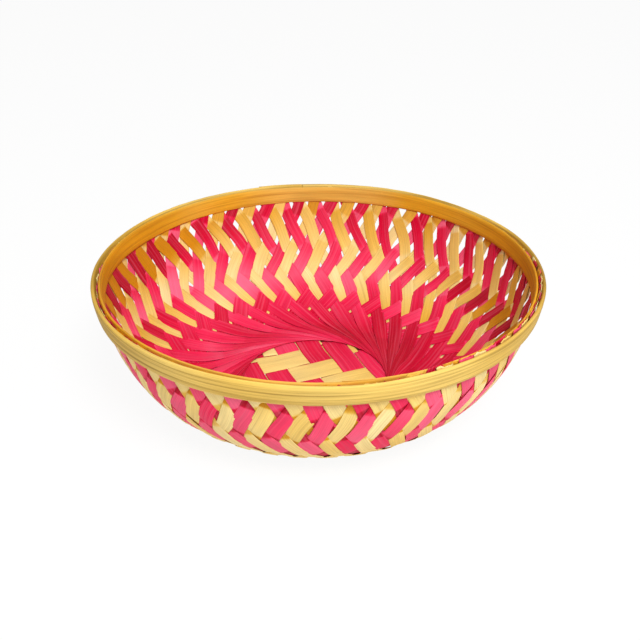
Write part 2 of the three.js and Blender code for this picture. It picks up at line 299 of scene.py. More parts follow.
def wall_curves(angles):
    """Reach, level and distance along the surface at each step of the wall, a row for each direction."""
    direction = np.stack([np.cos(angles), np.sin(angles)], -1)
    radius = FLOOR_RADIUS + (WALL_RADIUS - FLOOR_RADIUS) * GROWTH
    drift = -GROWTH[:, None] * WEAVE_CENTRE
    along = direction @ drift.T
    reach = along + np.sqrt(radius ** 2 - (drift ** 2).sum(1) + along ** 2)
    level = FLOOR_LEVEL + WALL_RISE * CLIMB
    stretch = np.hypot(np.diff(reach, axis=1), np.diff(level))
    start = np.full((len(angles), 1), FLOOR_RADIUS)
    return reach, level, np.concatenate([start, FLOOR_RADIUS + np.cumsum(stretch, 1)], 1)


def rise(distance, angle):
    """How far up the bowl's surface the crossings at a distance really lie."""
    tilt = RISE_TILT[0] * np.cos(angle) + RISE_TILT[1] * np.sin(angle)
    front = np.maximum(-np.sin(angle), 0) ** 2 * line_through(FRONT_LINE, distance)
    return line_through(RISE_LINE, distance) + tilt * line_through(TILT_LINE, distance) + front


def surface_points(distance, angle):
    """Points of the bowl's surface at distances along it from the weave's centre."""
    flat_distance = (distance + rise(distance, angle)).ravel()
    flat_angle = angle.ravel()
    reach, level, stations = wall_curves(flat_angle)
    index = np.clip((stations < flat_distance[:, None]).sum(1), 1, WALL_STEPS)
    rows = np.arange(len(flat_angle))
    low = stations[rows, index - 1]
    share = (flat_distance - low) / (stations[rows, index] - low)
    wall_reach = reach[rows, index - 1] * (1 - share) + reach[rows, index] * share
    wall_level = level[index - 1] * (1 - share) + level[index] * share
    on_floor = flat_distance <= FLOOR_RADIUS
    far = np.where(on_floor, flat_distance, wall_reach)
    height = np.where(on_floor, FLOOR_LEVEL, wall_level)
    plan_x = WEAVE_CENTRE[0] + far * np.cos(flat_angle)
    plan_y = WEAVE_CENTRE[1] + far * np.sin(flat_angle)
    return np.stack([plan_x, plan_y, height], -1).reshape(*distance.shape, 3)


def surface_ways(distance, angle):
    """How a point moves for each millimetre of distance and each radian, and the inward normal."""
    turn = SLOPE_REACH / distance
    farther = surface_points(distance + SLOPE_REACH, angle)
    nearer = surface_points(distance - SLOPE_REACH, angle)
    turned_on = surface_points(distance, angle + turn)
    turned_back = surface_points(distance, angle - turn)
    outward = (farther - nearer) / (2 * SLOPE_REACH)
    sideways = (turned_on - turned_back) / (2 * turn)[..., None]
    return outward, sideways, unit(np.cross(outward, sideways))


def turn_table():
    """How far a splint has turned round the bowl at each distance, as a taut strip on a round bowl.
    The wall is taken in the direction square to the weave centre's own shift."""
    across = math.atan2(-WEAVE_CENTRE[0], WEAVE_CENTRE[1])
    reach, _, stations = wall_curves(np.array([across]))
    stretch = np.diff(stations[0])
    radius = (reach[0][1:] + reach[0][:-1]) / 2
    gain = TANGENT_RADIUS * stretch / (radius * np.sqrt(radius ** 2 - TANGENT_RADIUS ** 2))
    first = math.acos(TANGENT_RADIUS / FLOOR_RADIUS)
    return stations[0], np.concatenate([[first], first + np.cumsum(gain)])


TURN_DISTANCES, TURNS = turn_table()
LAST_SLOPE = (TURNS[-1] - TURNS[-2]) / (TURN_DISTANCES[-1] - TURN_DISTANCES[-2])


def turn_at(distance):
    """How far a splint has turned round the bowl at a distance."""
    floor_turn = np.arccos(np.minimum(TANGENT_RADIUS / distance, 1))
    wall_turn = np.interp(distance, TURN_DISTANCES, TURNS)
    past_end = np.maximum(distance - TURN_DISTANCES[-1], 0) * LAST_SLOPE
    return np.where(distance <= FLOOR_RADIUS, floor_turn, wall_turn + past_end)


def distance_at(turn):
    """The distance at which a splint has turned so far."""
    floor_distance = TANGENT_RADIUS / np.cos(np.minimum(turn, TURNS[0]))
    wall_distance = np.interp(turn, TURNS, TURN_DISTANCES)
    past_end = np.maximum(turn - TURNS[-1], 0) / LAST_SLOPE
    return np.where(turn <= TURNS[0], floor_distance, wall_distance + past_end)


def wall_length(angle):
    """The distance of the rim in one direction, less the rise there."""
    angle = np.atleast_1d(angle)
    whole = wall_curves(angle)[2][:, -1]
    length = whole
    for _ in range(LENGTH_ROUNDS):
        length = whole - rise(length, angle)
    return length


# How the splints lie over and under each other
def kept_changes(splint_angle, side):
    """The rows at which one end of a splint changes over, without one too close to the rim."""
    kept = []
    for change in BAND_ROWS:
        crossing = change + CHANGE_TO_CROSSING
        end_angle = splint_angle + side * crossing * ROW_STEP
        end_row = turn_at(wall_length(end_angle) - END_DROP)[0] / ROW_STEP
        if end_row > crossing + ROOM_FOR_CHANGE:
            kept.append(change)
    return kept


def band_lift(layer, side, row, changes):
    """Lift of a splint in the wall. Side is 1 for the end that turns anticlockwise, else -1.
    Layer is 1 for pink and -1 for natural, which lie apart low down and share one twill above.
    The natural splints that come up out of the swirl are over the other natural ones a row early."""
    colour_gap = layer * SPLINT_THICKNESS / 2
    starts = [
        (2 * layer + side) * SWIRL_LIFT,
        (2 * layer - side) * SWIRL_LIFT,
        side * FOOT_LIFT + colour_gap,
        -side * WALL_LIFT,
        side * WALL_LIFT,
        -side * WALL_LIFT,
    ]
    ends = list(starts)
    ends[FOOT_BAND] = side * WALL_LIFT
    lift = np.full(row.shape, starts[0])
    for band, change in enumerate(changes, 1):
        if band == FOOT_BAND and layer < 0 < side:
            change = change - TIP_ROW_EARLIER
        along_band = np.clip((row - change) / BAND_LENGTH, 0, 1)
        wanted = starts[band] + (ends[band] - starts[band]) * along_band
        lift = lift + (wanted - lift) * share_changed(row, change, CHANGE_HALF_ROW)
    return lift


def pile_lift(layer, side, distance, polar):
    """Lift in the floor, where the splints lie on each other like the leaves of an iris."""
    outer_edge = TANGENT_RADIUS + SPLINT_WIDTH / 2
    straight_turn = np.arccos(np.minimum(TANGENT_RADIUS / distance, 1))
    edge_turn = np.arccos(np.minimum(outer_edge / distance, 1))
    sunk = PILE_SLOPE * (turn_at(distance) - straight_turn + edge_turn) - SPLINT_THICKNESS / 2
    settled = np.interp(distance, SETTLED_RANGE, (0, 1))
    piled = PILE_SLOPE * polar - side * np.maximum(sunk, 0)
    level = (1 - settled) * piled + settled * side * SWIRL_LIFT
    level = level + layer * line_through(LAYER_LINE, distance)
    pressed = PRESSED_LIFT + (level - PRESSED_LIFT) * PRESSED_SHARE
    return np.maximum(level, pressed)


def splint_lift(layer, splint_angle, places, distance, angle):
    """Lift of every point of a splint: piled in the floor, in bands of twill up the wall."""
    side = np.where(places >= 0, 1.0, -1.0)
    polar = angle - splint_angle
    row = (side[:, None] * polar + turn_at(distance)) / SPLINT_STEP
    lift = np.empty_like(distance)
    for end in (-1, 1):
        here = side == end
        piled = pile_lift(layer, end, distance[here], polar[here])
        banded = band_lift(layer, end, row[here], kept_changes(splint_angle, end))
        in_wall = share_past(distance[here], *SETTLED_RANGE)
        lift[here] = piled * (1 - in_wall) + banded * in_wall
    return lift


# Unevenness and tone, with painted sheen and painted shade
def wander(dice, places, reach, wavelengths):
    """A slow drift along a strip, a sum of a few waves."""
    total = np.zeros_like(places)
    for wavelength in wavelengths:
        phase = dice.uniform(0, 2 * math.pi)
        total += np.sin(2 * math.pi * places / wavelength + phase)
    return total * reach / len(wavelengths)


def painted_fibre_sheen(points, forward):
    """Painted sheen: how much lighter a strip is painted than the mean, pale where its fibres lie square
    to one fixed direction of the room, and deep where they point along it."""
    side_way = PAINTED_SHEEN_WAY[0] * np.clip(points[:, 0] / PAINTED_SHEEN_TURN_REACH, -1, 1)
    along = forward[:, 0] * side_way + forward[:, 1] * PAINTED_SHEEN_WAY[1] + forward[:, 2] * PAINTED_SHEEN_WAY[2]
    return PAINTED_SHEEN * (PAINTED_SHEEN_MIDDLE - np.abs(along))


def painted_shade_depth(points):
    """Painted shade: how much deeper strips are painted in the floor and on the two steep side walls, the
    left one only near its rim."""
    right = share_past(points[:, 0], *RIGHT_RANGE)
    left = share_past(-points[:, 0], *LEFT_RANGE) * share_past(points[:, 2], *LEFT_HEIGHTS)
    floor = 1 - share_past(points[:, 2], *FLOOR_HEIGHTS)
    return np.maximum(RIGHT_PAINTED_SHADE * right, LEFT_PAINTED_SHADE * left) + FLOOR_PAINTED_SHADE * floor


def uneven_tone(dice, places, shift_and_painted_light):
    """How light a strip is along its length: its own tone, a slow swing, and a given shift, which on
    splints and hoops is painted sheen, painted shade and painted light.
    """
    own = MIDDLE_TONE + OWN_TONE * dice.uniform(-1, 1)
    return own + wander(dice, places, *TONE_WANDER) + shift_and_painted_light


# Middle sheets, and the tree that gives them a body
def closed_fullness(fullness):
    """How thick a strip is over its grid, as a share, with nothing left at its first and last
    sections."""
    fullness[0] = 0
    fullness[-1] = 0
    return fullness


def strip_fullness(section_count):
    """The fullness of a thin strip: full across its middle, nothing at its edges and ends."""
    profile = np.sqrt(np.maximum(1 - np.abs(STRIP_COLUMNS) ** STRIP_SQUARENESS, 0))
    return closed_fullness(np.repeat(profile[None], section_count, 0))


def add_attribute(mesh, name, kind, values):
    """Gives every point of a mesh a value that a tree or a material reads by its name."""
    attribute = mesh.attributes.new(name, kind, "POINT")
    field = "vector" if kind == "FLOAT_VECTOR" else "value"
    attribute.data.foreach_set(field, values.reshape(-1).astype(np.float32))


def make_sheet(name, points, normals, sideways, fullness, fibres, tone, number):
    """The middle sheet of a strip: a grid of points, with what the strip body's tree and the
    materials read: its normals, the way across it, its fullness, fibre places, tone and number."""
    rows, columns = fullness.shape
    faces = []
    for row in range(rows - 1):
        for column in range(columns - 1):
            corner = row * columns + column
            faces.append((corner, corner + 1, corner + columns + 1, corner + columns))
    mesh = bpy.data.meshes.new(name)
    mesh.from_pydata((points.reshape(-1, 3) * METRES).tolist(), [], faces)
    add_attribute(mesh, "face_way", "FLOAT_VECTOR", normals)
    add_attribute(mesh, "side_way", "FLOAT_VECTOR", sideways)
    add_attribute(mesh, "fullness", "FLOAT", fullness)
    # The tone holds the painted sheen and painted shade of splints and hoops, and the lighter tone
    # painted on the splints' outside
    add_attribute(mesh, "tone", "FLOAT", np.repeat(tone, columns))
    add_attribute(mesh, "strip", "FLOAT", np.full(rows * columns, number))
    corners = np.empty(len(mesh.loops), np.int32)
    mesh.loops.foreach_get("vertex_index", corners)
    layer = mesh.uv_layers.new(name="fibres")
    layer.data.foreach_set("uv", fibres.reshape(-1, 2)[corners].reshape(-1).astype(np.float32))
    piece = bpy.data.objects.new(name, mesh)
    bpy.context.scene.collection.objects.link(piece)
    return piece


def put(tree, kind, inputs=None, **settings):
    """A new node of a tree, with its settings and with values or links for its inputs."""
    node = tree.nodes.new(kind)
    for setting, value in settings.items():
        setattr(node, setting, value)
    for place, value in (inputs or {}).items():
        socket = node.inputs[place]
        if isinstance(value, bpy.types.NodeSocket):
            tree.links.new(value, socket)
        else:
            socket.default_value = value
    return node


def maths(tree, operation, first, second):
    """The result of one operation on two fields or numbers."""
    return put(tree, "ShaderNodeMath", {0: first, 1: second}, operation=operation).outputs[0]


def moved(tree, geometry, way, distance):
    """A geometry whose points have moved a distance along a direction of their own."""
    step = put(tree, "ShaderNodeVectorMath", {"Vector": way, "Scale": distance}, operation="SCALE")
    inputs = {"Geometry": geometry, "Offset": step.outputs[0]}
    return put(tree, "GeometryNodeSetPosition", inputs).outputs[0]


def attribute_field(tree, name, kind):
    """What a named attribute says at each point."""
    node = put(tree, "GeometryNodeInputNamedAttribute", {"Name": name}, data_type=kind)
    return node.outputs[0]


def strip_body_tree():
    """Turns a middle sheet into a closed strip: two skins that meet at its edges, with rough
    edges and raised fibres."""
    tree = bpy.data.node_groups.new("Strip body", "GeometryNodeTree")
    sockets = tree.interface
    sockets.new_socket("Geometry", in_out="OUTPUT", socket_type="NodeSocketGeometry")
    sockets.new_socket("Sheet", in_out="INPUT", socket_type="NodeSocketGeometry")
    for name in ("Thickness", "Edge roughness", "Fibre height", "Fibre width", "Fibre length"):
        sockets.new_socket(name, in_out="INPUT", socket_type="NodeSocketFloat")
    sockets.new_socket("Seed", in_out="INPUT", socket_type="NodeSocketInt")
    sockets.new_socket("Finish", in_out="INPUT", socket_type="NodeSocketMaterial")
    given = tree.nodes.new("NodeGroupInput").outputs

    face_way = attribute_field(tree, "face_way", "FLOAT_VECTOR")
    side_way = attribute_field(tree, "side_way", "FLOAT_VECTOR")
    fullness = attribute_field(tree, "fullness", "FLOAT")
    fibres = attribute_field(tree, "fibres", "FLOAT_VECTOR")
    place = put(tree, "ShaderNodeSeparateXYZ", {0: fibres}).outputs

    def noise(along, across, detail):
        """Noise about zero, different for each seed."""
        spot = put(tree, "ShaderNodeCombineXYZ", {0: along, 1: across}).outputs[0]
        inputs = {"Vector": spot, "W": given["Seed"], "Scale": 1.0, "Detail": detail}
        node = put(tree, "ShaderNodeTexNoise", inputs, noise_dimensions="4D")
        return maths(tree, "SUBTRACT", node.outputs[0], NOISE_MIDDLE)

    # Rough edges: the points move across the strip, all along it
    slow = maths(tree, "MULTIPLY", place[0], EDGE_NOISE_SCALE)
    edge_noise = noise(slow, place[1], EDGE_NOISE_DETAIL)
    roughness = maths(tree, "MULTIPLY", edge_noise, given["Edge roughness"])
    ragged = moved(tree, given["Sheet"], side_way, roughness)

    # Two skins, half a thickness to each side, with the same fibres raised on both
    along = maths(tree, "DIVIDE", place[0], given["Fibre length"])
    across = maths(tree, "DIVIDE", place[1], given["Fibre width"])
    fibre_noise = noise(along, across, FIBRE_NOISE_DETAIL)
    raised = maths(tree, "MULTIPLY", fibre_noise, given["Fibre height"])
    raised = maths(tree, "MULTIPLY", raised, fullness)
    half = maths(tree, "MULTIPLY", maths(tree, "MULTIPLY", given["Thickness"], 0.5), fullness)
    inner = moved(tree, ragged, face_way, maths(tree, "ADD", half, raised))
    outer = moved(tree, ragged, face_way, maths(tree, "SUBTRACT", raised, half))
    back = put(tree, "GeometryNodeFlipFaces", {"Mesh": outer})
    both = put(tree, "GeometryNodeJoinGeometry", {"Geometry": inner})
    tree.links.new(back.outputs[0], both.inputs[0])

    inputs = {"Geometry": both.outputs[0], "Distance": JOIN_DISTANCE}
    closed = put(tree, "GeometryNodeMergeByDistance", inputs)
    smooth = put(tree, "GeometryNodeSetShadeSmooth", {"Geometry": closed.outputs[0]})
    real = put(tree, "GeometryNodeRealizeInstances", {"Geometry": smooth.outputs[0]})
    inputs = {"Geometry": real.outputs[0], "Material": given["Finish"]}
    done = put(tree, "GeometryNodeSetMaterial", inputs)
    tree.links.new(done.outputs[0], tree.nodes.new("NodeGroupOutput").inputs[0])
    return tree


def dress(piece, tree, values):
    """Gives a sheet the strip body, its inputs set by their identifiers."""
    modifier = piece.modifiers.new("Strip body", "NODES")
    modifier.node_group = tree
    for item in tree.interface.items_tree:
        if item.item_type == "SOCKET" and item.in_out == "INPUT" and item.name in values:
            modifier[item.identifier] = values[item.name]


def finish_strips(pieces):
    """Makes each dressed sheet a plain closed mesh."""
    bpy.context.view_layer.update()
    graph = bpy.context.evaluated_depsgraph_get()
    for piece in pieces:
        solid = bpy.data.meshes.new_from_object(piece.evaluated_get(graph))
        piece.modifiers.clear()
        piece.data = solid


# Finishes: the grain's sizes are changes per millimetre along and across the fibres, and its detail
FINE_GRAIN = (0.03, 5.0, 3.0)
STREAK_GRAIN = (0.012, 0.9, 2.0)
PATCH_GRAIN = (0.03, 0.15, 2.0)
THREAD_GRAIN = (0.009, 1.7, 4.0)
GRAIN_ROUGHNESS = 0.6
STRIP_SHIFT = 17.3
BLACK = (0, 0, 0, 1)
WHITE = (1, 1, 1, 1)
UNPLACED_STOP = 0.5
STREAK_STOPS = ((0.45, BLACK), (0.7, WHITE))
SHADOW_STOPS = ((0.3, (0.72, 0.72, 0.72, 1)), (0.62, WHITE))
PATCH_STOPS = ((0.3, (0.86, 0.86, 0.86, 1)), (0.7, WHITE))
THREAD_STOPS = ((0.3, WHITE), (0.38, BLACK))
ROUGHNESS_BELOW = 0.08
ROUGHNESS_ABOVE = 0.12
STREAK_HEIGHT = 0.6
BUMP_STRENGTH = 0.35
BUMP_DEPTH = 0.1 * METRES
GLOSS_STRETCH = 0.7
GLOSS_LEVEL = 0.12

# How a seen colour becomes a linear one
FULL_CHANNEL = 255
DARK_END = 0.04045
DARK_SLOPE = 12.92
CURVE_SHIFT = 0.055
CURVE_POWER = 2.4


def linear(*colour):
    """A colour as it is seen, 0 to 255, made linear."""
    channels = []
    for value in colour:
        share = value / FULL_CHANNEL
        dark = share / DARK_SLOPE
        light = ((share + CURVE_SHIFT) / (1 + CURVE_SHIFT)) ** CURVE_POWER
        channels.append(dark if share <= DARK_END else light)
    return (*channels, 1.0)


def ramp(tree, factor, stops):
    """A colour that goes through stops as the factor goes from 0 to 1."""
    node = put(tree, "ShaderNodeValToRGB", {"Fac": factor})
    elements = node.color_ramp.elements
    while len(elements) < len(stops):
        elements.new(UNPLACED_STOP)
    for element, (place, colour) in zip(elements, stops):
        element.position = place
        element.color = colour
    return node.outputs["Color"]


def mixed(tree, factor, first, second, blend="MIX"):
    """Two colours mixed, or multiplied."""
    node = put(tree, "ShaderNodeMix", data_type="RGBA", blend_type=blend)
    for place, value in ((0, factor), (6, first), (7, second)):
        if isinstance(value, bpy.types.NodeSocket):
            tree.links.new(value, node.inputs[place])
        else:
            node.inputs[place].default_value = value
    return node.outputs[2]


def bamboo_finish(name, shades, streak, streak_share, thread_share, roughness):
    """Split bamboo: shades by the strip's tone, streaks, thin threads in the streaks' colour and
    fine fibres along it, and a soft gloss that stretches across the fibres."""
    material = bpy.data.materials.new(name)
    material.use_nodes = True
    tree = material.node_tree
    shader = tree.nodes["Principled BSDF"]
    place = put(tree, "ShaderNodeUVMap", uv_map="fibres").outputs[0]
    # The tone attribute brings the painted sheen and painted shade of splints and hoops into the base
    # colour
    tone = put(tree, "ShaderNodeAttribute", attribute_name="tone").outputs["Fac"]
    strip = put(tree, "ShaderNodeAttribute", attribute_name="strip").outputs["Fac"]
    shift = put(tree, "ShaderNodeCombineXYZ", {2: maths(tree, "MULTIPLY", strip, STRIP_SHIFT)})
    inputs = {0: place, 1: shift.outputs[0]}
    spot = put(tree, "ShaderNodeVectorMath", inputs, operation="ADD").outputs[0]

    def grain(along, across, detail):
        """Noise drawn out along the fibres, different on each strip."""
        mapping = put(tree, "ShaderNodeMapping", {"Vector": spot, "Scale": (along, across, 1)})
        inputs = {"Vector": mapping.outputs[0], "Scale": 1.0, "Detail": detail,
                  "Roughness": GRAIN_ROUGHNESS}
        return put(tree, "ShaderNodeTexNoise", inputs).outputs[0]

    fine = grain(*FINE_GRAIN)
    streaks = grain(*STREAK_GRAIN)
    in_streak = maths(tree, "MULTIPLY", ramp(tree, streaks, STREAK_STOPS), streak_share)
    in_thread = maths(tree, "MULTIPLY", ramp(tree, grain(*THREAD_GRAIN), THREAD_STOPS), thread_share)
    colour = mixed(tree, in_streak, ramp(tree, tone, shades), streak)
    colour = mixed(tree, 1.0, colour, ramp(tree, fine, SHADOW_STOPS), "MULTIPLY")
    colour = mixed(tree, 1.0, colour, ramp(tree, grain(*PATCH_GRAIN), PATCH_STOPS), "MULTIPLY")
    colour = mixed(tree, in_thread, colour, streak)
    tree.links.new(colour, shader.inputs["Base Color"])

    inputs = {"Value": fine, "To Min": roughness - ROUGHNESS_BELOW, "To Max": roughness + ROUGHNESS_ABOVE}
    gloss = put(tree, "ShaderNodeMapRange", inputs)
    tree.links.new(gloss.outputs[0], shader.inputs["Roughness"])
    height = maths(tree, "ADD", maths(tree, "MULTIPLY", streaks, STREAK_HEIGHT), fine)
    inputs = {"Height": height, "Strength": BUMP_STRENGTH, "Distance": BUMP_DEPTH}
    bump = put(tree, "ShaderNodeBump", inputs)
    tree.links.new(bump.outputs[0], shader.inputs["Normal"])
    way = put(tree, "ShaderNodeTangent", direction_type="UV_MAP", uv_map="fibres")
    tree.links.new(way.outputs[0], shader.inputs["Tangent"])
    shader.inputs["Anisotropic"].default_value = GLOSS_STRETCH
    shader.inputs["Specular IOR Level"].default_value = GLOSS_LEVEL
    return material


FINISHES = {
    "pink": bamboo_finish(
        "pink_bamboo",
        shades=((0.0, linear(184, 0, 38)), (0.3, linear(212, 0, 52)), (0.62, linear(238, 36, 84)),
                (1.0, linear(252, 108, 142))),
        streak=linear(252, 124, 152), streak_share=0.25, thread_share=0.1, roughness=0.52),
    "natural": bamboo_finish(
        "natural_bamboo",
        shades=((0.0, linear(212, 142, 14)), (0.25, linear(230, 180, 66)),
                (0.6, linear(244, 208, 116)), (1.0, linear(252, 230, 164))),
        streak=linear(178, 120, 48), streak_share=0.16, thread_share=0.42, roughness=0.52),
    "outer_hoop": bamboo_finish(
        "outer_hoop_bamboo",
        shades=((0.0, linear(184, 142, 46)), (0.45, linear(226, 182, 78)),
                (1.0, linear(244, 212, 122))),
        streak=linear(140, 104, 32), streak_share=0.6, thread_share=0.8, roughness=0.5),
    "inner_hoop": bamboo_finish(
        "inner_hoop_bamboo",
        shades=((0.0, linear(216, 144, 6)), (0.5, linear(232, 170, 42)),
                (1.0, linear(240, 194, 108))),
        streak=linear(170, 102, 24), streak_share=0.45, thread_share=0.55, roughness=0.46),
}
STRIP_BODY = strip_body_tree()


# Splints
def middle_line(splint_angle):
    """Turns round the bowl along a splint's middle line, and the line's length up to each of them
    from its middle."""
    turns = np.linspace(-LAST_TURN, LAST_TURN, LINE_POINTS)
    points = surface_points(distance_at(np.abs(turns)), splint_angle + turns)
    length = np.concatenate([[0], np.cumsum(np.linalg.norm(np.diff(points, axis=0), axis=1))])
    length -= np.interp(0, turns, length)
    return turns, length


def ragged_share(angle):
    """1 at the right of the viewer's side of the rim, where the splint ends stick up, 0 elsewhere."""
    nearness = (math.cos(angle - RAGGED_ANGLE) - RAGGED_EDGE) / (1 - RAGGED_EDGE)
    return smooth_share(nearness * RAGGED_STEEPNESS)


def splint_ends(dice, splint_angle, turns, length):
    """Where along its middle line a splint's two ends stop, level between the hoops."""
    ends = []
    for side in (-1, 1):
        room = wall_length(splint_angle + side * END_TURNS) - distance_at(END_TURNS)
        drop = dice.uniform(*END_DROPS) - RAGGED_RISE * ragged_share(splint_angle + side * TURNS[-1])
        end_turn = np.interp(-drop, -room, END_TURNS)
        ends.append(np.interp(side * end_turn, turns, length))
    return ends


def splint_offsets(dice, layer, splint_angle, half, places, middle_turn):
    """How far each column of each section lies beside the middle line. The outer edge is straight,
    and the inner one draws in where the splint rounds the mat."""
    inner_half = line_through(INNER_HALF_LINE, np.abs(places)) * half / (SPLINT_WIDTH / 2)
    columns = STRIP_COLUMNS[None]
    offset = np.where(columns > 0, columns * inner_half[:, None], columns * half)
    width = line_through(WIDTH_LINES[layer], distance_at(np.abs(middle_turn)))
    offset = offset * width[:, None]
    offset = offset * (1 + wander(dice, places, *WIDTH_WANDER))[:, None]
    in_wall = share_past(np.abs(places), *WALL_RANGE)
    loose = LOOSE_SHARE * np.cos(splint_angle + middle_turn - LOOSE_ANGLE)
    offset = offset * (1 - loose * in_wall)[:, None]
    return offset + (wander(dice, places, *DRIFT_WANDER) * in_wall)[:, None]


def leaning_places(dice, places, offset):
    """Places along the splint of each point: sections near an end lean with the rim and are torn."""
    from_end = np.minimum(places - places[0], places[-1] - places)
    lean_share = smooth_share(1 - from_end / LEAN_LENGTH)
    lean = END_LEAN * np.sign(places) * lean_share
    columns = len(STRIP_COLUMNS)
    torn = np.array([dice.uniform(-TORN_REACH, TORN_REACH) for _ in range(2 * columns)])
    torn = torn.reshape(2, columns)
    torn_here = np.where(places[:, None] < 0, torn[0], torn[1]) * lean_share[:, None]
    return places[:, None] + lean[:, None] * offset + torn_here


def moved_aside(splint_angle, along, offset, turns, length):
    """Distance and angle of points that lie beside a splint's middle line, the line's direction
    and the way across it."""
    turn = np.interp(along, length, turns)
    distance = distance_at(np.abs(turn))
    angle = splint_angle + turn
    outward, sideways, normal = surface_ways(distance, angle)
    ahead_turn = np.interp(along + LOOK_AHEAD, length, turns)
    behind_turn = np.interp(along - LOOK_AHEAD, length, turns)
    ahead = surface_points(distance_at(np.abs(ahead_turn)), splint_angle + ahead_turn)
    behind = surface_points(distance_at(np.abs(behind_turn)), splint_angle + behind_turn)
    forward = unit(ahead - behind)
    across = unit(np.cross(normal, forward))

    # The step across, in steps of distance and of angle, which aren't quite square to each other
    outward_square = (outward * outward).sum(-1)
    sideways_square = (sideways * sideways).sum(-1)
    shared = (outward * sideways).sum(-1)
    outward_part = (across * outward).sum(-1)
    sideways_part = (across * sideways).sum(-1)
    scale = outward_square * sideways_square - shared * shared
    distance_step = outward_part * sideways_square - sideways_part * shared
    angle_step = sideways_part * outward_square - outward_part * shared
    distance = distance + offset * distance_step / scale
    angle = angle + offset * angle_step / scale
    return distance, angle, forward, across


def splint_tone(dice, places, points, forward, lift):
    """A splint's tone along its middle: a painted sheen by the way its fibres run, less painted shade on
    the side walls and in the floor, where it shows inside the bowl, and one plain lighter tone, painted
    light, where it shows outside."""
    inside = share_changed(lift, 0, CHANGE_OF_TONE / 2)
    inside_painted_sheen_and_shade = painted_fibre_sheen(points, forward) - painted_shade_depth(points)
    return uneven_tone(dice, places, inside * inside_painted_sheen_and_shade + (1 - inside) * OUTSIDE_PAINTED_LIGHT)


def splint_sheet(index):
    """The sheet of one splint, from rim to rim, and the node and the slot that it stands for."""
    layer = 1 if index % COLOUR_COUNT == 0 else -1
    colour = COLOURS[layer]
    dice = random.Random(SPLINT_SEED + index)
    splint_angle = index * SPLINT_STEP + WEAVE_PHASE
    turns, length = middle_line(splint_angle)
    start, end = splint_ends(dice, splint_angle, turns, length)
    places = np.linspace(start, end, int((end - start) / SECTION_LENGTH))
    half = (SPLINT_WIDTH + dice.uniform(-1, 1) * WIDTH_SPREAD) / 2
    middle_turn = np.interp(places, length, turns)
    offset = splint_offsets(dice, layer, splint_angle, half, places, middle_turn)
    along = leaning_places(dice, places, offset)
    distance, angle, forward, across = moved_aside(splint_angle, along, offset, turns, length)
    lift = splint_lift(layer, splint_angle, places, distance, angle)
    normals = surface_ways(distance, angle)[2]
    points = surface_points(distance, angle) + normals * lift[..., None]
    tone = splint_tone(dice, places, points[:, MIDDLE_COLUMN], forward[:, MIDDLE_COLUMN],
                       lift[:, MIDDLE_COLUMN])
    fibres = stacked(places[:, None], STRIP_COLUMNS[None] * half)
    name = "%s_splint_%02d" % (colour, index // COLOUR_COUNT + 1)
    fullness = strip_fullness(len(places))
    piece = make_sheet(name, points, normals, across, fullness, fibres, tone, index)
    dress(piece, STRIP_BODY, {**SPLINT_BODY, "Seed": index, "Finish": FINISHES[colour]})
    node = "%s_splints_%02d" % (colour, index // (COLOUR_COUNT * SPLINTS_PER_NODE) + 1)
    return piece, node, colour + "_bamboo"


# Mat
def strip_middle(strip, index):
    """How far a mat strip's middle line lies from the mat's centre."""
    return (index - (strip["count"] - 1) / 2) * strip["pitch"] + strip["offset"]


def is_over(strip, index, crossing):
    """Whether a mat strip passes over the strip that crosses it there. A pink strip does so where
    the natural one doesn't."""
    natural_is_over = (index + crossing) % TWILL_REPEAT >= TWILL_REPEAT / 2
    return natural_is_over == (strip is MAT_NATURAL)


def mat_lift(strip, index, places):
    """Lift along a mat strip, over two and under two of the strips that cross it."""
    crossed = MAT_PINK if strip is MAT_NATURAL else MAT_NATURAL
    wanted = [MAT_LIFT if is_over(strip, index, crossing) else -MAT_LIFT
              for crossing in range(crossed["count"])]
    lift = np.full(places.shape, wanted[0])
    for crossing in range(1, crossed["count"]):
        edge = strip_middle(crossed, crossing) - crossed["pitch"] / 2
        lift = lift + (wanted[crossing] - lift) * share_changed(places, edge, MAT_CHANGE)
    return lift


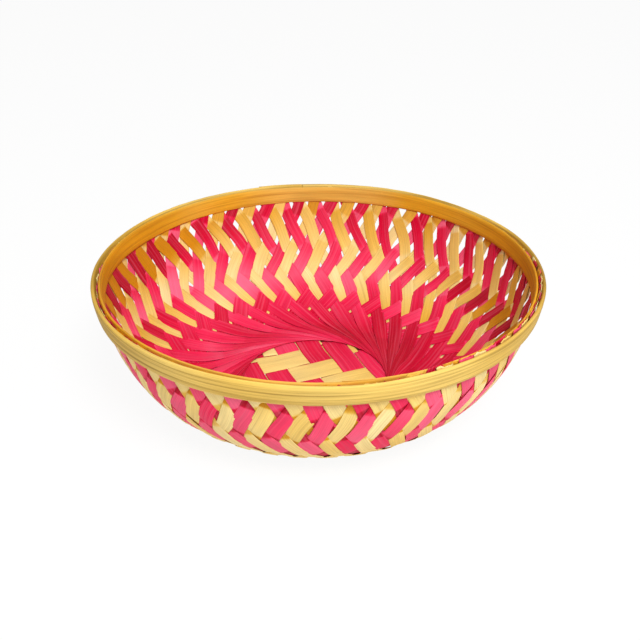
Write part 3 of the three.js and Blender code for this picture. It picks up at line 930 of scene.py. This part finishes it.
def mat_sheet(strip, index):
    """The sheet of one mat strip, and the node and the slot that it stands for."""
    is_natural = strip is MAT_NATURAL
    dice = random.Random(strip["seed"] + index)
    middle = strip_middle(strip, index)
    farthest = min(abs(middle) + strip["width"] / 2, MAT_RADIUS - MAT_END_ROOM)
    reach = math.sqrt(MAT_RADIUS ** 2 - farthest ** 2)
    places = np.linspace(-reach, reach, int(2 * reach / MAT_SECTION_LENGTH))
    lift = mat_lift(strip, index, places)
    across = STRIP_COLUMNS
    offset = across[None] * strip["width"] / 2 + middle + wander(dice, places, *MAT_WANDER)[:, None]
    along = np.repeat(places[:, None], len(across), 1)
    first, second = (along, offset) if is_natural else (offset, along)
    turned_x = first * math.cos(MAT_TURN) - second * math.sin(MAT_TURN)
    turned_y = first * math.sin(MAT_TURN) + second * math.cos(MAT_TURN)
    edge = share_past(np.hypot(turned_x, turned_y), *MAT_EDGE_RANGE)
    level = FLOOR_LEVEL + lift[:, None] + MAT_EDGE_RISE * edge
    points = stacked(WEAVE_CENTRE[0] + turned_x, WEAVE_CENTRE[1] + turned_y, level)

    # The pink strips' columns run the other way, so that their faces point up too
    if not is_natural:
        points = points[:, ::-1]
        across = across[::-1]
    normals = np.zeros_like(points)
    normals[..., 2] = 1
    sideways = np.broadcast_to(unit(points[:, -1:] - points[:, :1]), points.shape)
    fibres = stacked(along, across[None] * strip["width"] / 2)
    # The mat strips' shift lifts each whole strip's tone by one amount
    tone = uneven_tone(dice, places, strip["shift_and_painted_light"])
    name = "mat_%s_%02d" % (strip["colour"], index + 1)
    number = MAT_FIRST_NUMBER + index
    fullness = strip_fullness(len(places))
    piece = make_sheet(name, points, normals, sideways, fullness, fibres, tone, number)
    dress(piece, STRIP_BODY, {**MAT_BODY, "Seed": number, "Finish": FINISHES[strip["colour"]]})

    # There is one more natural strip than there are nodes, so the first two share a node
    node_number = max(index, 1) if is_natural else index + 1
    return piece, "mat_%s_strip_%02d" % (strip["colour"], node_number), strip["colour"] + "_bamboo"


# Rim hoops
def lapped_skins(angles, inside, thickness):
    """Inner and outer radius all round a hoop, which is thinned where its two ends lap."""
    thinned = thickness - 2 * LAP_TIP
    inner = np.full(angles.shape, inside)
    outer = inner + thickness
    first = angles < LAP_ANGLE
    last = angles > 2 * math.pi
    past_round = angles[last] - 2 * math.pi
    outer[first] = inside + LAP_TIP + thinned * angles[first] / LAP_ANGLE - LAP_GAP / 2
    inner[last] = inside + LAP_TIP + thinned * past_round / LAP_ANGLE + LAP_GAP / 2
    return inner, outer


def hoop_sheet(name, inside, thickness, top, hoop_height, lap_start, seed):
    """The sheet of a rim hoop: a flat strip bent round, its thinned ends lapped on each other."""
    dice = random.Random(seed)
    angles = np.linspace(0, 2 * math.pi + LAP_ANGLE, HOOP_SECTIONS)
    inner, outer = lapped_skins(angles, inside, thickness)
    places = angles * inside
    columns = HOOP_COLUMNS[None]
    height = hoop_height + wander(dice, places, *HEIGHT_WANDER)
    sag = wander(dice, places, *SAG_WANDER)
    drop = hoop_height / 2 - columns * height[:, None] / 2 + sag[:, None]
    bulge = wander(dice, places, *BULGE_WANDER)
    middle = ((inner + outer) / 2 + bulge)[:, None] - HOOP_SLOPE * drop
    turn = lap_start + angles[:, None]
    slope = np.full_like(drop, HOOP_SLOPE)
    points = stacked(middle * np.cos(turn), middle * np.sin(turn), top - drop)
    normals = unit(stacked(-np.cos(turn), -np.sin(turn), slope))
    sideways = unit(stacked(slope * np.cos(turn), slope * np.sin(turn), 1))
    profile = (1 - np.abs(columns) ** HOOP_SQUARENESS) ** HOOP_FULLNESS
    fullness = closed_fullness(((outer - inner) / thickness)[:, None] * profile)
    fibres = stacked(places[:, None], columns * hoop_height / 2)
    # Painted sheen: the hoop's tone is lighter at the front and back and deeper at the left and right
    tone = uneven_tone(dice, places, HOOP_PAINTED_SHEEN * (np.abs(np.sin(turn[:, 0])) - HOOP_PAINTED_SHEEN_MIDDLE))
    piece = make_sheet(name, points, normals, sideways, fullness, fibres, tone, seed)
    values = {**HOOP_BODY, "Thickness": thickness * METRES, "Seed": seed, "Finish": FINISHES[name]}
    dress(piece, STRIP_BODY, values)
    return piece, "rim_" + name, "rim_bamboo"


# The whole basket
made = [splint_sheet(index) for index in range(SPLINT_COUNT)]
for strip in (MAT_NATURAL, MAT_PINK):
    made += [mat_sheet(strip, index) for index in range(strip["count"])]
made.append(hoop_sheet("outer_hoop", **OUTER_HOOP_SIZES))
made.append(hoop_sheet("inner_hoop", **INNER_HOOP_SIZES))
finish_strips([piece for piece, _, _ in made])
for piece, node, slot in made:
    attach(piece, "root")
    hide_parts(node)


# Studio: a plain white floor and sky, one soft lamp from the camera's side
def white_to_camera(tree):
    """1 where a ray comes from the camera, a mirror or glass, so that it sees plain white."""
    path = tree.nodes.new("ShaderNodeLightPath").outputs
    seen = maths(tree, "MAXIMUM", path["Is Camera Ray"], path["Is Glossy Ray"])
    return maths(tree, "MAXIMUM", seen, path["Is Transmission Ray"])


def make_world():
    """The sky: plain white where it is seen, and weaker where it lights the basket."""
    world = bpy.data.worlds.new("studio")
    world.use_nodes = True
    tree = world.node_tree
    tree.nodes.clear()
    plain = put(tree, "ShaderNodeBackground", {"Color": WHITE, "Strength": 1.0})
    soft = put(tree, "ShaderNodeBackground", {"Color": SKY_COLOUR, "Strength": SKY_STRENGTH})
    inputs = {0: white_to_camera(tree), 1: soft.outputs[0], 2: plain.outputs[0]}
    both = put(tree, "ShaderNodeMixShader", inputs)
    put(tree, "ShaderNodeOutputWorld", {"Surface": both.outputs[0]})
    bpy.context.scene.world = world


def make_floor():
    """A square of pale paper, nearly white where it is seen, which keeps the basket's shadow."""
    half = FLOOR_HALF_SIZE
    mesh = bpy.data.meshes.new("studio_floor")
    corners = [(-half, -half, 0), (half, -half, 0), (half, half, 0), (-half, half, 0)]
    mesh.from_pydata(corners, [], [(0, 1, 2, 3)])
    material = bpy.data.materials.new("studio_floor")
    material.use_nodes = True
    tree = material.node_tree
    tree.nodes.clear()
    paper_colour = (FLOOR_PAPER, FLOOR_PAPER, FLOOR_PAPER, 1)
    paper = put(tree, "ShaderNodeBsdfDiffuse", {"Color": paper_colour})
    white = put(tree, "ShaderNodeEmission", {"Color": WHITE, "Strength": 1.0})
    share = maths(tree, "MULTIPLY", white_to_camera(tree), FLOOR_WHITE_SHARE)
    both = put(tree, "ShaderNodeMixShader", {0: share, 1: paper.outputs[0], 2: white.outputs[0]})
    put(tree, "ShaderNodeOutputMaterial", {"Surface": both.outputs[0]})
    mesh.materials.append(material)
    floor = bpy.data.objects.new("studio_floor", mesh)
    bpy.context.scene.collection.objects.link(floor)


def make_lamp():
    """A soft round lamp, high on the camera's side."""
    light = bpy.data.lights.new("soft_lamp", "AREA")
    light.shape = "DISK"
    light.size = LAMP_SIZE
    light.energy = LAMP_POWER
    lamp = bpy.data.objects.new("soft_lamp", light)
    lamp.location = LAMP_PLACE
    lamp.rotation_euler = (math.radians(LAMP_TILT), 0, math.radians(LAMP_TURN))
    bpy.context.scene.collection.objects.link(lamp)


def make_camera():
    """The camera at the photograph's viewing angle."""
    lens = bpy.data.cameras.new("camera")
    lens.sensor_width = SENSOR_WIDTH
    lens.lens = LENS_LENGTH
    camera = bpy.data.objects.new("camera", lens)
    camera.location = CAMERA_PLACE
    camera.rotation_euler = (math.radians(90 - CAMERA_LOOKS_DOWN), 0, math.radians(CAMERA_TURN))
    bpy.context.scene.collection.objects.link(camera)
    bpy.context.scene.camera = camera


make_world()
make_floor()
make_lamp()
make_camera()
bpy.context.scene.view_settings.view_transform = "Standard"
